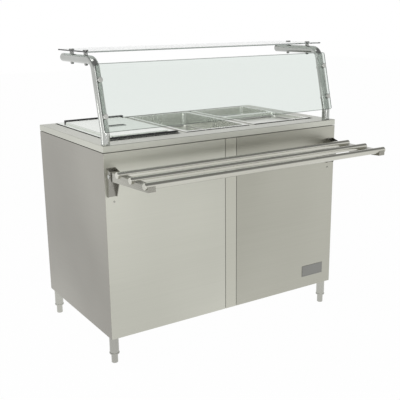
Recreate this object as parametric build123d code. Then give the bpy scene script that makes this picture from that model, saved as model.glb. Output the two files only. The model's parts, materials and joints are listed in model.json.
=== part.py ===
"""Refrigerated self-service counter: a stainless cabinet with a cooled well for three
gastronorm pans, a glass guard and shelf on bent posts, and a fold-down tray slide.

Sizes are in millimetres.  X runs along the customer's front, Y points to the operator
behind the counter and Z is up.  The floor is Z = 0.
"""

from build123d import *
from math import cos, hypot, radians, sin
import os

# Cabinet
worktop_height = 900.0
ground_gap = 116.0
worktop_edge = 25.0
top_sheet = 2.0
sheet = 1.2
nose_radius = 3.0
panel_thick = 18.0
shadow_gap = 3.0
panel_gap = 2.0
strip_width = 55.0
base_height = 18.0
fit_gap = 0.3
running_gap = 0.05

# Refrigerated well
well_margin_left = 66.0
well_margin_right = 54.0
opening_front = 84.5
opening_back = 12.5
opening_corner = 8.0
ledge_drop = 8.0
ledge_side = 16.5
ledge_front = 29.0
ledge_back = 23.0
tank_depth = 170.0
tank_corner = 20.0
coil_space = 13.0
foam_wall = 34.0
foam_back = 28.0
foam_floor = 30.0

# Gastronorm pans and the bars between them
pan_width = 325.0
pan_length = 530.0
pan_spacing = 27.0
pan_end_gap = 5.5
pan_front_gap = 22.0
pan_back_gap = 16.0
pan_flange = 14.0
pan_sheet = 1.5
pan_skirt = 8.5
pan_corner = 22.0
pan_taper = 4.0
full_pan_depth = 65.0
half_pan_back_depth = 40.0
half_pan_front_depth = 20.0
pan_play = 5.0
half_pan_gap = 1.0
bar_rib = 24.0
bar_wing = 50.0
bar_sheet = 2.0
lid_rise = 9.0
lid_margin = 26.0
lid_grip_length = 96.0
lid_grip_width = 44.0
lid_grip_depth = 12.0

# Guard: posts, glass and shelf
post_radius = 17.0
post_wall = 2.0
post_inset_x = 27.0
post_inset_y = 33.5
post_stub = 40.0
post_tilt = 14.0
kink_radius = 30.0
elbow_radius = 42.0
arm_height = 308.0
arm_from_front = 394.5
post_cap = 4.0
arm_cap = 3.0
glass_thick = 5.0
glass_end_gap = 15.0
glass_corner = 10.0
glass_height = 258.0
glass_start = 1.0
glass_spacer = 6.0
glass_bolt_edge = 60.0
shelf_end_gap = 5.0
shelf_from_front = 102.5
shelf_depth = 305.0
shelf_spacer = 11.0
shelf_bolt_front = 72.0
shelf_bolt_back = 208.0
bolt_radius = 4.0
bolt_hole_gap = 0.3
disc_radius = 11.0
disc_thick = 3.0
spacer_radius = 8.0
nut_radius = 7.0
nut_thick = 6.5
post_stud_length = 18.0
saddle_depth = 6.8
disc_round = 2.4
nut_round = 3.9

# Tray slide
rail_radius = 12.5
rail_wall = 1.5
rail_end_gap = 5.0
rail_drop = 94.0
rail_offsets = (95.0, 200.0, 305.0)
rail_cap_thick = 2.5
rail_cap_round = 1.75
rail_plug_length = 7.5
arm_inset = 28.0
arm_width = 31.0
arm_sheet = 2.5
arm_root_depth = 36.0
arm_tip_depth = 20.0
arm_tip_reach = 14.0
pivot_reach = 24.0
pivot_drop = 18.0
pivot_radius = 5.0
pin_head_thick = 2.5
pin_head_proud = 3.0
bracket_width = 39.0
bracket_height = 112.0
bracket_top = 10.0
bracket_sheet = 3.0
bracket_reach = 36.0
bracket_toe = 9.0

# Legs and adjustable feet
leg_inset_x = 23.5
leg_inset_y = 33.0
leg_radius = 19.0
collar_radius = 20.5
collar_height = 5.0
foot_radius = 13.5
foot_height = 42.0
leg_clear = 40.0
foot_stem_radius = 7.0
foot_stem_top = 98.0
foot_bore_top = 60.0
foot_bore_gap = 0.6
foot_chamfer = 1.5

# Operator's side
door_gap = 2.0
compartment_width = 322.0
control_height = 72.0
rail_box = 18.0
louvre_reach = 9.0
louvre_width = 250.0
louvre_pitch = 34.0
louvre_start = 40.0
door_pin_radius = 4.0
door_pin_depth = 10.0
door_bore_spare = 2.0
handle_length = 140.0
handle_reach = 30.0
handle_radius = 5.0
handle_inset = 35.0
mullion_width = 30.0
mullion_depth = 20.0
shelf_level = 265.0
shelf_fold = 22.0
shelf_set_back = 30.0
shelf_notch_gap = 5.0

# Controls
thermostat_width = 71.0
thermostat_height = 29.0
thermostat_bezel = 3.5
bezel_thick = 4.0
bezel_round = 1.5
thermostat_body = 45.0
thermostat_inset = 93.0
button_width = 8.0
button_height = 6.0
button_proud = 1.0
button_gap = 0.2
button_round = 0.6
button_pocket = 1.0
button_pitch = 11.0
window_width = 34.0
window_height = 17.0
window_recess = 1.0
switch_inset = 92.0
switch_width = 17.0
switch_height = 30.0
switch_body = 22.0
switch_bezel = 2.0
rocker_width = 12.0
rocker_half_height = 10.0
rocker_face = 7.0
rocker_dip = 5.3
rocker_back = 2.5
rocker_back_half = 6.3
rocker_sink = 7.8
rocker_tilt = 8.0
trunnion_radius = 1.5
trunnion_length = 1.2

# Drain
drain_inset_x = 60.0
drain_inset_y = 50.0
riser_radius = 14.0
drain_wall = 2.0
drain_flange_radius = 26.0
spigot_radius = 16.0
spigot_drop = 40.0
spigot_collar = 4.0
spigot_collar_radius = 20.0
valve_drop = 75.0
valve_radius = 23.0
valve_height = 44.0
valve_boss = 4.0
stem_radius = 5.0
stem_depth = 6.0
stem_end_gap = 0.5
stem_proud = 4.0
lever_length = 95.0
lever_width = 16.0
lever_thick = 4.0

# Condensing unit
unit_plate = 2.0
unit_plate_fold = 18.0
unit_side_clear = 2.0
unit_from_front = 124.5
compressor_radius = 76.0
compressor_height = 172.0
compressor_from_front = 234.5
shell_round_top = 38.0
shell_round_foot = 15.0
seam_proud = 2.5
seam_height = 6.0
terminal_reach = 26.0
terminal_half = 28.0
terminal_low = 60.0
terminal_height = 70.0
terminal_round = 6.0
grommet_radius = 13.0
grommet_height = 16.0
mount_bar_width = 36.0
mount_bar_thick = 9.0
mount_bar_spread = 47.0
mount_bar_spare = 26.0
shell_sink = 3.0
grommet_sink = 1.0
condenser_width = 264.0
condenser_height = 258.0
condenser_thick = 48.0
condenser_rise = 24.0
condenser_setback = 42.0
fin_count = 16
fin_thick = 1.0
tube_radius = 5.0
tube_rows = 4
tube_stagger = 20.0
fan_radius = 98.0
fan_clear = 4.0
fan_hub_radius = 24.0
fan_hub_length = 24.0
fan_blades = 5
hub_set_back = 2.0
hub_round = 5.0
hub_face = 3.0
blade_thick = 2.0
blade_chord = 52.0
blade_root_chord = 28.6
blade_root_sink = 4.0
blade_pitch_root = 42.0
blade_pitch_tip = 24.0
shroud_depth = 30.0
motor_radius = 42.0
motor_length = 52.0
motor_round = 5.0
motor_shaft_radius = 4.0
shaft_end_gap = 1.0
band_half = 8.0
band_thick = 3.0
line_radius = 4.0
suction_rise = 60.0
suction_offset = 30.0
drier_radius = 10.0
drier_length = 90.0
coil_pairs = 3
coil_pitch = 80.0
coil_inset = 46.0
coil_bend = 36.0
tail_drop = 46.0
coil_tube_radius = 4.8

# Worked out from the sizes above
pan_pitch = pan_width + pan_spacing
opening_width = 2 * pan_pitch + pan_width + 2 * pan_end_gap
opening_depth = pan_front_gap + pan_length + pan_back_gap
width = well_margin_left + opening_width + well_margin_right
depth = opening_front + opening_depth + opening_back
well_shift_x = (well_margin_left - well_margin_right) / 2
half_width = width / 2
front_y = -depth / 2
rear_y = depth / 2
well_left = well_shift_x - opening_width / 2
well_right = well_shift_x + opening_width / 2
well_front = front_y + opening_front
well_back = rear_y - opening_back
sheet_under = worktop_height - top_sheet
ledge_z = worktop_height - ledge_drop
tank_left = well_left + ledge_side
tank_right = well_right - ledge_side
tank_front = well_front + ledge_front
tank_back = well_back - ledge_back
tank_floor = ledge_z - tank_depth
coil_z = tank_floor - sheet - fit_gap - coil_tube_radius
foam_bottom = tank_floor - sheet - coil_space - foam_floor
panel_top = worktop_height - worktop_edge - shadow_gap
inner_x = half_width - panel_thick
inner_front = front_y + panel_thick
base_top = ground_gap + base_height
rim_z = ledge_z + pan_skirt
pan_centre_y = well_front + pan_front_gap + pan_length / 2
pan_x = [well_shift_x + step * pan_pitch for step in (-1, 0, 1)]
bar_x = [well_shift_x + step * pan_pitch / 2 for step in (-1, 1)]
post_x = half_width - post_inset_x
post_y = front_y + post_inset_y
kink_z = worktop_height + post_stub
arm_z = worktop_height + arm_height
elbow_y = post_y + (arm_z - kink_z) * sin(radians(post_tilt)) / cos(radians(post_tilt))
arm_end = front_y + arm_from_front
glass_width = width - 2 * glass_end_gap
shelf_width = width - 2 * shelf_end_gap
shelf_front = front_y + shelf_from_front
slope = Vector(0, sin(radians(post_tilt)), cos(radians(post_tilt)))
outward = Vector(0, -cos(radians(post_tilt)), sin(radians(post_tilt)))
kink = Vector(0, post_y, kink_z)
glass_bolts_at = (glass_start + glass_bolt_edge, glass_start + glass_height - glass_bolt_edge)
shelf_z = arm_z + post_radius + shelf_spacer
shelf_bolts_at = (shelf_front + shelf_bolt_front, shelf_front + shelf_bolt_back)
arm_x = half_width - arm_inset
rail_length = width - 2 * rail_end_gap
rail_height = worktop_height - rail_drop
pivot_y = front_y - pivot_reach
pivot_z = rail_height - pivot_drop
rail_y = [front_y - offset for offset in rail_offsets]
partition_x = inner_x - compartment_width
door_left_edge = -inner_x + door_gap
door_right_edge = partition_x - sheet
door_middle = (door_left_edge + door_right_edge) / 2
door_bottom = base_top + door_gap
header_bottom = foam_bottom - rail_box
door_top = header_bottom - door_gap
door_pivot_y = rear_y - panel_thick / 2
control_bottom = header_bottom - control_height
compartment_left = partition_x + door_gap
control_z = control_bottom + control_height / 2
louvre_count = int((control_bottom - base_top - 2 * louvre_start) / louvre_pitch) + 1
thermostat_x = compartment_left + thermostat_inset
switch_x = inner_x - switch_inset
rocker_reach = hypot(rocker_face, rocker_half_height)
drain_x = tank_left + drain_inset_x
drain_y = tank_back - drain_inset_y
valve_z = foam_bottom - valve_drop
spigot_top = base_top - sheet - fit_gap - spigot_collar
drain_end = ground_gap - spigot_drop
unit_x = partition_x + compartment_width / 2
unit_z = base_top + unit_plate
unit_front = front_y + unit_from_front
condenser_back = rear_y - panel_thick - condenser_setback
condenser_front = condenser_back - condenser_thick
fan_z = unit_z + condenser_rise + condenser_height / 2
fan_y = condenser_front - shroud_depth + fan_hub_length / 2
compressor_y = front_y + compressor_from_front + panel_thick
compressor_z = unit_z + grommet_height
shell_z = compressor_z + mount_bar_thick - shell_sink
handle_outer = rear_y + handle_reach + handle_radius
rail_outer = rail_y[-1] - rail_radius
footprint_shift = -(handle_outer + min(rail_outer, rail_y[-1] - arm_tip_reach)) / 2


def block(x0, x1, y0, y1, z0, z1):
    """A box between two corners."""
    middle = Pos((x0 + x1) / 2, (y0 + y1) / 2, (z0 + z1) / 2)
    return middle * Box(abs(x1 - x0), abs(y1 - y0), abs(z1 - z0))


def round_block(x0, x1, y0, y1, z0, z1, radius):
    """A box with rounded upright edges."""
    outline = Pos((x0 + x1) / 2, (y0 + y1) / 2, z0) * RectangleRounded(x1 - x0, y1 - y0, radius)
    return extrude(outline, z1 - z0)


def rod(start, end, radius):
    """A round bar from one point to another."""
    start, end = Vector(*start), Vector(*end)
    return extrude(Plane(origin=start, z_dir=end - start) * Circle(radius), (end - start).length)


def pipe(start, end, radius, wall):
    """A straight tube from one point to another."""
    return rod(start, end, radius) - rod(start, end, radius - wall)


def bent_tube(points, radii, radius):
    """A round bar swept along straight runs joined by arcs."""
    path = FilletPolyline(*points, radius=radii)
    return sweep(Plane(origin=path @ 0, z_dir=path % 0) * Circle(radius), path=path)


def hollow_panel(x0, x1, y0, y1, z0, z1):
    """A double-skinned panel whose hollow is open at its bottom edge."""
    inside = block(x0 + sheet, x1 - sheet, y0 + sheet, y1 - sheet, z0, z1 - sheet)
    return block(x0, x1, y0, y1, z0, z1) - inside


def mirrored(shape):
    """The same piece on the other end of the counter."""
    return mirror(shape, about=Plane.YZ)


def worktop():
    """Top sheet with a turned-down edge, the well's cut-out and the posts' stud holes."""
    top = block(-half_width, half_width, front_y, rear_y, panel_top + shadow_gap, worktop_height)
    top = fillet(top.edges().group_by(Axis.Z)[-1], nose_radius)
    top -= block(-half_width + top_sheet, half_width - top_sheet, front_y + top_sheet,
                 rear_y - top_sheet, panel_top, sheet_under)
    top -= round_block(well_left, well_right, well_front, well_back, panel_top,
                       worktop_height, opening_corner)
    for side in (-1, 1):
        top -= rod((side * post_x, post_y, panel_top), (side * post_x, post_y, worktop_height),
                   bolt_radius + bolt_hole_gap)
    return top


def well_tank():
    """Pressed tank with the ledge that carries the pans and a drain hole."""
    tank = round_block(tank_left - sheet, tank_right + sheet, tank_front - sheet,
                       tank_back + sheet, tank_floor - sheet, ledge_z, tank_corner + sheet)
    tank += round_block(well_left - sheet, well_right + sheet, well_front - sheet,
                        well_back + sheet, ledge_z - sheet, sheet_under, opening_corner + sheet)
    tank -= round_block(well_left, well_right, well_front, well_back, ledge_z,
                        sheet_under, opening_corner)
    tank -= round_block(tank_left, tank_right, tank_front, tank_back, tank_floor,
                        ledge_z, tank_corner)
    return tank - rod((drain_x, drain_y, tank_floor - sheet), (drain_x, drain_y, tank_floor),
                      riser_radius - drain_wall)


def well_insulation():
    """Foam slabs round the tank: a floor slab with the coil's space, and four wall slabs."""
    x0, x1 = tank_left - sheet, tank_right + sheet
    y0, y1 = tank_front - sheet, tank_back + sheet
    left, right, front, back = x0 - foam_wall, x1 + foam_wall, y0 - foam_wall, y1 + foam_back
    low, high = tank_floor - sheet, ledge_z - sheet
    floor = block(left, right, front, back, foam_bottom, low)
    floor -= block(tank_left + tank_corner, tank_right - tank_corner, tank_front + tank_corner,
                   tank_back - tank_corner, foam_bottom + foam_floor, low)
    for x, y in coil_ends():
        floor -= rod((x, y, foam_bottom), (x, y, low), coil_tube_radius + fit_gap)
    floor -= rod((drain_x, drain_y, foam_bottom), (drain_x, drain_y, low),
                 riser_radius + fit_gap)
    walls = [block(left, x0, front, back, low, high), block(x1, right, front, back, low, high),
             block(x0, x1, front, y0, low, high), block(x0, x1, y1, back, low, high)]
    return Compound(children=[floor] + walls)


def coil_rows():
    """Y of each pass of the evaporator."""
    passes = 2 * coil_pairs
    start = pan_centre_y - coil_pitch * (passes - 1) / 2
    return [start + row * coil_pitch for row in range(passes)]


def coil_span():
    """X of the two ends of a pass."""
    return drain_x + drain_flange_radius + coil_inset, tank_right - tank_corner - coil_inset


def coil_ends():
    """X and Y where the evaporator's two tails go down through the foam."""
    rows, right = coil_rows(), coil_span()[1]
    return [(right, rows[0]), (right, rows[-1])]


def evaporator_coil():
    """Serpentine tube under the tank floor, with a tail at each end."""
    rows, (left, right) = coil_rows(), coil_span()
    points = [(right, rows[0], foam_bottom - tail_drop)]
    for row in range(0, len(rows), 2):
        points += [(right, rows[row], coil_z), (left, rows[row], coil_z),
                   (left, rows[row + 1], coil_z), (right, rows[row + 1], coil_z)]
    points.append((right, rows[-1], foam_bottom - tail_drop))
    tail_bend = 2 * coil_tube_radius
    radii = [tail_bend] + [coil_bend] * (len(points) - 4) + [tail_bend]
    return bent_tube(points, radii, coil_tube_radius)


def pan_bar(x):
    """Support bar between two pans: wings under the pan rims and a rib between them."""
    wings = block(x - bar_wing / 2, x + bar_wing / 2, tank_front + fit_gap, tank_back - fit_gap,
                  ledge_z - bar_sheet, ledge_z)
    rib = block(x - bar_rib / 2, x + bar_rib / 2, well_front + fit_gap, well_back - fit_gap,
                ledge_z, rim_z - bar_sheet)
    hollow = block(x - bar_rib / 2 + bar_sheet, x + bar_rib / 2 - bar_sheet,
                   well_front + fit_gap, well_back - fit_gap,
                   ledge_z - bar_sheet, rim_z - 2 * bar_sheet)
    return wings + rib - hollow


def pan(x, y0, y1, deep):
    """Gastronorm pan: tapered deep-drawn body, flat rim and turned-down edge."""
    x0, x1 = x - pan_width / 2, x + pan_width / 2
    middle = Pos(x, (y0 + y1) / 2, 0)
    mouth = (pan_width - 2 * pan_flange, y1 - y0 - 2 * pan_flange)
    taper = pan_taper * deep / full_pan_depth

    def body(grow, bottom):
        """The body's outside, or its hollow, from the rim down."""
        upper = Pos(0, 0, rim_z) * RectangleRounded(mouth[0] + 2 * grow, mouth[1] + 2 * grow,
                                                    pan_corner + grow)
        lower = Pos(0, 0, bottom) * RectangleRounded(mouth[0] + 2 * grow - 2 * taper,
                                                     mouth[1] + 2 * grow - 2 * taper,
                                                     pan_corner + grow - taper / 2)
        return middle * loft([lower, upper])

    floor = rim_z - deep
    rim = round_block(x0, x1, y0, y1, ledge_z, rim_z, pan_corner / 2)
    rim -= round_block(x0 + pan_sheet, x1 - pan_sheet, y0 + pan_sheet, y1 - pan_sheet,
                       ledge_z, rim_z - pan_sheet, pan_corner / 2 - pan_sheet)
    hollow = body(-pan_sheet, floor)
    hollow = fillet(hollow.edges().group_by(Axis.Z)[0], min(pan_corner, deep) / 3)
    shell = body(0, floor - pan_sheet)
    shell = fillet(shell.edges().group_by(Axis.Z)[0], min(pan_corner, deep) / 3)
    return rim + shell - hollow


def lid():
    """Pan lid: flat rim, raised middle and a pressed-in grip with a bar across it."""
    x, y = pan_x[0], pan_centre_y + pan_play
    half_x, half_y = pan_width / 2 - fit_gap, pan_length / 2 - fit_gap
    low, high = rim_z + fit_gap, rim_z + fit_gap + lid_rise
    plate = round_block(x - half_x, x + half_x, y - half_y, y + half_y, low, low + pan_sheet,
                        pan_corner / 2)
    raised = round_block(x - half_x + lid_margin, x + half_x - lid_margin,
                         y - half_y + lid_margin, y + half_y - lid_margin, low, high, pan_corner)
    raised = fillet(raised.edges().group_by(Axis.Z)[-1], lid_rise / 2)
    inner = round_block(x - half_x + lid_margin + pan_sheet, x + half_x - lid_margin - pan_sheet,
                        y - half_y + lid_margin + pan_sheet, y + half_y - lid_margin - pan_sheet,
                        low, high - pan_sheet, pan_corner - pan_sheet)
    cup = round_block(x - lid_grip_length / 2, x + lid_grip_length / 2, y - lid_grip_width / 2,
                      y + lid_grip_width / 2, high - lid_grip_depth, high, lid_grip_width / 4)
    cup_inside = round_block(x - lid_grip_length / 2 + pan_sheet,
                             x + lid_grip_length / 2 - pan_sheet,
                             y - lid_grip_width / 2 + pan_sheet,
                             y + lid_grip_width / 2 - pan_sheet,
                             high - lid_grip_depth + pan_sheet, high,
                             lid_grip_width / 4 - pan_sheet)
    grip = rod((x - lid_grip_length / 2 + pan_sheet / 2, y, high - bolt_radius),
               (x + lid_grip_length / 2 - pan_sheet / 2, y, high - bolt_radius), bolt_radius)
    return plate + raised - inner + cup - cup_inside + grip


def side_panel():
    """Left end panel, double skinned, with the lip that carries the worktop."""
    outline = Polyline((-half_width, front_y), (-inner_x, inner_front), (-inner_x, rear_y),
                       (-half_width, rear_y), close=True)
    panel = extrude(Pos(0, 0, ground_gap) * make_face(outline), panel_top - ground_gap)
    panel -= block(-half_width + sheet, -inner_x - sheet, inner_front + sheet, rear_y - sheet,
                   ground_gap, panel_top - sheet)
    lip = block(-inner_x - sheet, -inner_x, inner_front + panel_thick, rear_y - panel_thick,
                panel_top, sheet_under)
    return panel + lip


def front_panel(side):
    """Front skin left or right of the cover strip, mitred at the cabinet's corner."""
    edge = strip_width / 2 + panel_gap
    outline = Polyline((half_width, front_y), (inner_x, inner_front), (edge, inner_front),
                       (edge, front_y), close=True)
    panel = extrude(Pos(0, 0, ground_gap) * make_face(outline), panel_top - ground_gap)
    panel -= block(edge + sheet, inner_x - sheet, front_y + sheet, inner_front - sheet,
                   ground_gap, panel_top - sheet)
    panel += block(edge, inner_x - panel_thick, inner_front - sheet, inner_front,
                   panel_top, sheet_under)
    return panel if side > 0 else mirrored(panel)


def cover_strip():
    """Upright channel that fills the joint between the two front panels."""
    half = strip_width / 2
    strip = block(-half, half, front_y, inner_front, ground_gap, panel_top)
    strip -= block(-half + sheet, half - sheet, front_y + sheet, inner_front, ground_gap,
                   panel_top - sheet)
    back = block(-half - 2 * panel_gap - sheet, half + 2 * panel_gap + sheet,
                 inner_front, inner_front + sheet, ground_gap + base_height, sheet_under)
    return strip + back


def base_tray():
    """Cabinet floor with turned-down edges and a hole for the drain."""
    floor = block(-inner_x, inner_x, inner_front, rear_y, ground_gap, base_top)
    floor -= block(-inner_x + sheet, inner_x - sheet, inner_front + sheet,
                   rear_y - sheet, ground_gap, base_top - sheet)
    return floor - rod((drain_x, drain_y, base_top - sheet), (drain_x, drain_y, base_top),
                       riser_radius + fit_gap)


def rear_header():
    """Back skin behind the well, with a box rail along its foot for the doors' pins."""
    skin_front = tank_back + sheet + foam_back
    skin = block(-inner_x, inner_x, skin_front, rear_y, foam_bottom, sheet_under)
    skin -= block(-inner_x + sheet, inner_x - sheet, skin_front, rear_y - sheet,
                  foam_bottom, sheet_under - sheet)
    skin -= block(-inner_x, inner_x, rear_y - top_sheet - fit_gap, rear_y, panel_top,
                  sheet_under)
    rail = block(-inner_x, inner_x, rear_y - panel_thick, rear_y, header_bottom, foam_bottom)
    rail -= block(door_pivots()[0] + panel_thick, door_pivots()[1] - panel_thick,
                  rear_y - panel_thick + sheet, rear_y - sheet,
                  header_bottom + sheet, foam_bottom)
    rail -= block(partition_x + panel_thick, inner_x - panel_thick,
                  rear_y - panel_thick + sheet, rear_y - sheet,
                  header_bottom + sheet, foam_bottom)
    header = skin + rail
    for x in door_pivots():
        header -= rod((x, door_pivot_y, header_bottom),
                      (x, door_pivot_y, header_bottom + door_pin_depth), door_pin_radius)
    return header


def door_pivots():
    """X of the two doors' hinge pins."""
    return door_left_edge + panel_thick / 2, door_right_edge - panel_thick / 2


def door(side):
    """Double-skinned door with a full round on its hinge edge and blind pin bores."""
    x0, x1 = door_left_edge, door_middle - door_gap / 2
    if side > 0:
        x0, x1 = door_middle + door_gap / 2, door_right_edge
    y0 = rear_y - panel_thick
    leaf = block(x0, x1, y0, rear_y, door_bottom, door_top)
    hinge_x = x0 if side < 0 else x1
    edges = leaf.edges().filter_by(Axis.Z).filter_by(lambda e: abs(e.center().X - hinge_x) < 1)
    leaf = fillet(edges, panel_thick / 2 - fit_gap / 3)
    inner0 = x0 + (panel_thick if side < 0 else sheet)
    inner1 = x1 - (sheet if side < 0 else panel_thick)
    leaf -= block(inner0, inner1, y0 + sheet, rear_y - sheet, door_bottom, door_top - sheet)
    pin_x = door_pivots()[0 if side < 0 else 1]
    bore = door_pin_radius + running_gap
    deep = door_pin_depth + door_bore_spare
    leaf -= rod((pin_x, door_pivot_y, door_bottom), (pin_x, door_pivot_y, door_bottom + deep),
                bore)
    leaf -= rod((pin_x, door_pivot_y, door_top - deep), (pin_x, door_pivot_y, door_top), bore)
    return leaf


def door_handle(side):
    """Bow handle: a bar on two posts near the door's free edge."""
    x = door_middle + side * (door_gap / 2 + handle_inset)
    middle = (door_bottom + door_top) / 2 + handle_length
    low, high = middle - handle_length / 2, middle + handle_length / 2
    bar_y = rear_y + handle_reach
    points = [(x, rear_y, low), (x, bar_y, low), (x, bar_y, high), (x, rear_y, high)]
    return bent_tube(points, [2 * handle_radius] * 2, handle_radius)


def door_pins():
    """The four hinge pins, fixed in the floor and in the header rail."""
    pins = []
    for x in door_pivots():
        pins.append(rod((x, door_pivot_y, base_top), (x, door_pivot_y,
                                                      door_bottom + door_pin_depth),
                        door_pin_radius))
        pins.append(rod((x, door_pivot_y, door_top - door_pin_depth),
                        (x, door_pivot_y, header_bottom + door_pin_depth), door_pin_radius))
    return Compound(children=pins)


def mullion():
    """Box post behind the joint of the two doors, with a magnetic catch for each."""
    y1 = rear_y - panel_thick - fit_gap
    post = hollow_panel(door_middle - mullion_width / 2, door_middle + mullion_width / 2,
                        y1 - mullion_depth, y1, base_top, foam_bottom)
    return post


def partition():
    """Wall between the cupboard and the machine compartment."""
    wall = block(partition_x - sheet, partition_x, inner_front, rear_y - panel_thick,
                 base_top, foam_bottom)
    foot = block(partition_x, partition_x + panel_thick, inner_front, rear_y - panel_thick,
                 base_top, base_top + sheet)
    head = block(partition_x, partition_x + panel_thick, inner_front, rear_y - panel_thick,
                 foam_bottom - sheet, foam_bottom)
    strike = block(partition_x, partition_x + panel_thick, rear_y - panel_thick - sheet,
                   rear_y - panel_thick, base_top, foam_bottom)
    return wall + foot + head + strike


def inner_shelf():
    """Cupboard shelf with turned-down edges, notched round the drain's riser."""
    z = base_top + shelf_level
    y1 = rear_y - panel_thick - mullion_depth - shelf_set_back
    y0 = inner_front + sheet
    plate = block(-inner_x, partition_x - sheet, y0, y1, z - shelf_fold, z)
    plate -= block(-inner_x + sheet, partition_x - 2 * sheet, y0 + sheet,
                   y1 - sheet, z - shelf_fold, z - sheet)
    notch = riser_radius + shelf_notch_gap
    return plate - block(drain_x - notch, drain_x + notch, drain_y - notch, rear_y,
                         z - shelf_fold, z)


def panel_skin(z0, z1):
    """Rear skin of the machine compartment, with edges turned in."""
    skin = block(compartment_left, inner_x, rear_y - panel_thick, rear_y, z0, z1)
    return skin - block(compartment_left + sheet, inner_x - sheet, rear_y - panel_thick,
                        rear_y - sheet, z0 + sheet, z1 - sheet)


def control_panel():
    """Skin above the louvres, with cut-outs for the thermostat and the main switch."""
    panel = panel_skin(control_bottom + door_gap / 2, header_bottom)
    panel -= block(thermostat_x - thermostat_width / 2, thermostat_x + thermostat_width / 2,
                   rear_y - sheet, rear_y, control_z - thermostat_height / 2,
                   control_z + thermostat_height / 2)
    return panel - block(switch_x - switch_width / 2, switch_x + switch_width / 2,
                         rear_y - sheet, rear_y, control_z - switch_height / 2,
                         control_z + switch_height / 2)


def louvre_panel():
    """Machine compartment cover with hooded louvres, open downwards, pressed from the skin."""
    panel = panel_skin(base_top, control_bottom - door_gap / 2)
    middle = (compartment_left + inner_x) / 2
    x0, x1 = middle - louvre_width / 2, middle + louvre_width / 2
    inner = louvre_reach - sheet
    for row in range(louvre_count):
        z = base_top + louvre_start + row * louvre_pitch
        hood = rod((x0, rear_y, z), (x1, rear_y, z), louvre_reach)
        hood -= rod((x0 + sheet, rear_y, z), (x1 - sheet, rear_y, z), inner)
        keep = block(x0, x1, rear_y, rear_y + louvre_reach, z, z + louvre_reach)
        panel -= block(x0 + sheet, x1 - sheet, rear_y - sheet, rear_y, z, z + inner)
        panel += hood & keep
    return panel


def button_places():
    """X of the three thermostat buttons."""
    right = thermostat_x + thermostat_width / 2 - button_width
    return [right - step * button_pitch for step in (2, 1, 0)]


def thermostat():
    """Digital thermostat: bezel with a display window and button pockets, and its body."""
    edge = thermostat_bezel
    bezel = block(thermostat_x - thermostat_width / 2 - edge,
                  thermostat_x + thermostat_width / 2 + edge, rear_y, rear_y + bezel_thick,
                  control_z - thermostat_height / 2 - edge,
                  control_z + thermostat_height / 2 + edge)
    bezel = fillet(bezel.edges().group_by(Axis.Y)[-1], bezel_round)
    body = block(thermostat_x - thermostat_width / 2 + fit_gap,
                 thermostat_x + thermostat_width / 2 - fit_gap, rear_y - thermostat_body, rear_y,
                 control_z - thermostat_height / 2 + fit_gap,
                 control_z + thermostat_height / 2 - fit_gap)
    unit = bezel + body
    window_x = thermostat_x - thermostat_width / 2 + window_width / 2
    unit -= block(window_x - window_width / 2, window_x + window_width / 2,
                  rear_y + bezel_thick - window_recess, rear_y + bezel_thick,
                  control_z - window_height / 2, control_z + window_height / 2)
    for x in button_places():
        unit -= block(x - button_width / 2 - button_gap, x + button_width / 2 + button_gap,
                      rear_y - button_pocket, rear_y + bezel_thick,
                      control_z - button_height / 2 - button_gap,
                      control_z + button_height / 2 + button_gap)
    return unit


def thermostat_button(x):
    """Push button that stands proud of the bezel."""
    key = block(x - button_width / 2, x + button_width / 2,
                rear_y - button_pocket + button_proud + fit_gap,
                rear_y + bezel_thick + button_proud,
                control_z - button_height / 2, control_z + button_height / 2)
    return fillet(key.edges().group_by(Axis.Y)[-1], button_round)


def switch_pivot_y():
    """Y of the rocker's axis, so that its tips stand just out of the bezel."""
    return rear_y + switch_bezel - rocker_sink


def switch_housing():
    """Main switch body with the rocker's pocket and trunnion bores."""
    half_w, half_h = switch_width / 2, switch_height / 2
    bezel = block(switch_x - half_w - switch_bezel, switch_x + half_w + switch_bezel,
                  rear_y, rear_y + switch_bezel, control_z - half_h - switch_bezel,
                  control_z + half_h + switch_bezel)
    body = block(switch_x - half_w + fit_gap, switch_x + half_w - fit_gap,
                 rear_y - switch_body, rear_y, control_z - half_h + fit_gap,
                 control_z + half_h - fit_gap)
    pocket = rod((switch_x - rocker_width / 2 - fit_gap, switch_pivot_y(), control_z),
                 (switch_x + rocker_width / 2 + fit_gap, switch_pivot_y(), control_z),
                 rocker_reach + fit_gap)
    reach = rocker_width / 2 + trunnion_length + fit_gap
    trunnion = rod((switch_x - reach, switch_pivot_y(), control_z),
                   (switch_x + reach, switch_pivot_y(), control_z),
                   trunnion_radius + running_gap)
    return bezel + body - pocket - trunnion


def switch_rocker():
    """Rocker with a shallow V face, tilted to its off position."""
    outline = Polyline((-rocker_back, -rocker_back_half), (rocker_face, -rocker_half_height),
                       (rocker_dip, 0), (rocker_face, rocker_half_height),
                       (-rocker_back, rocker_back_half), close=True)
    across = Plane(origin=(switch_x - rocker_width / 2, switch_pivot_y(), control_z),
                   x_dir=(0, 1, 0), z_dir=(1, 0, 0))
    rocker = extrude(across * make_face(outline), rocker_width)
    reach = rocker_width / 2 + trunnion_length
    rocker += rod((switch_x - reach, switch_pivot_y(), control_z),
                  (switch_x + reach, switch_pivot_y(), control_z), trunnion_radius)
    axis = Axis((switch_x, switch_pivot_y(), control_z), (1, 0, 0))
    return rocker.rotate(axis, -rocker_tilt)


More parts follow.
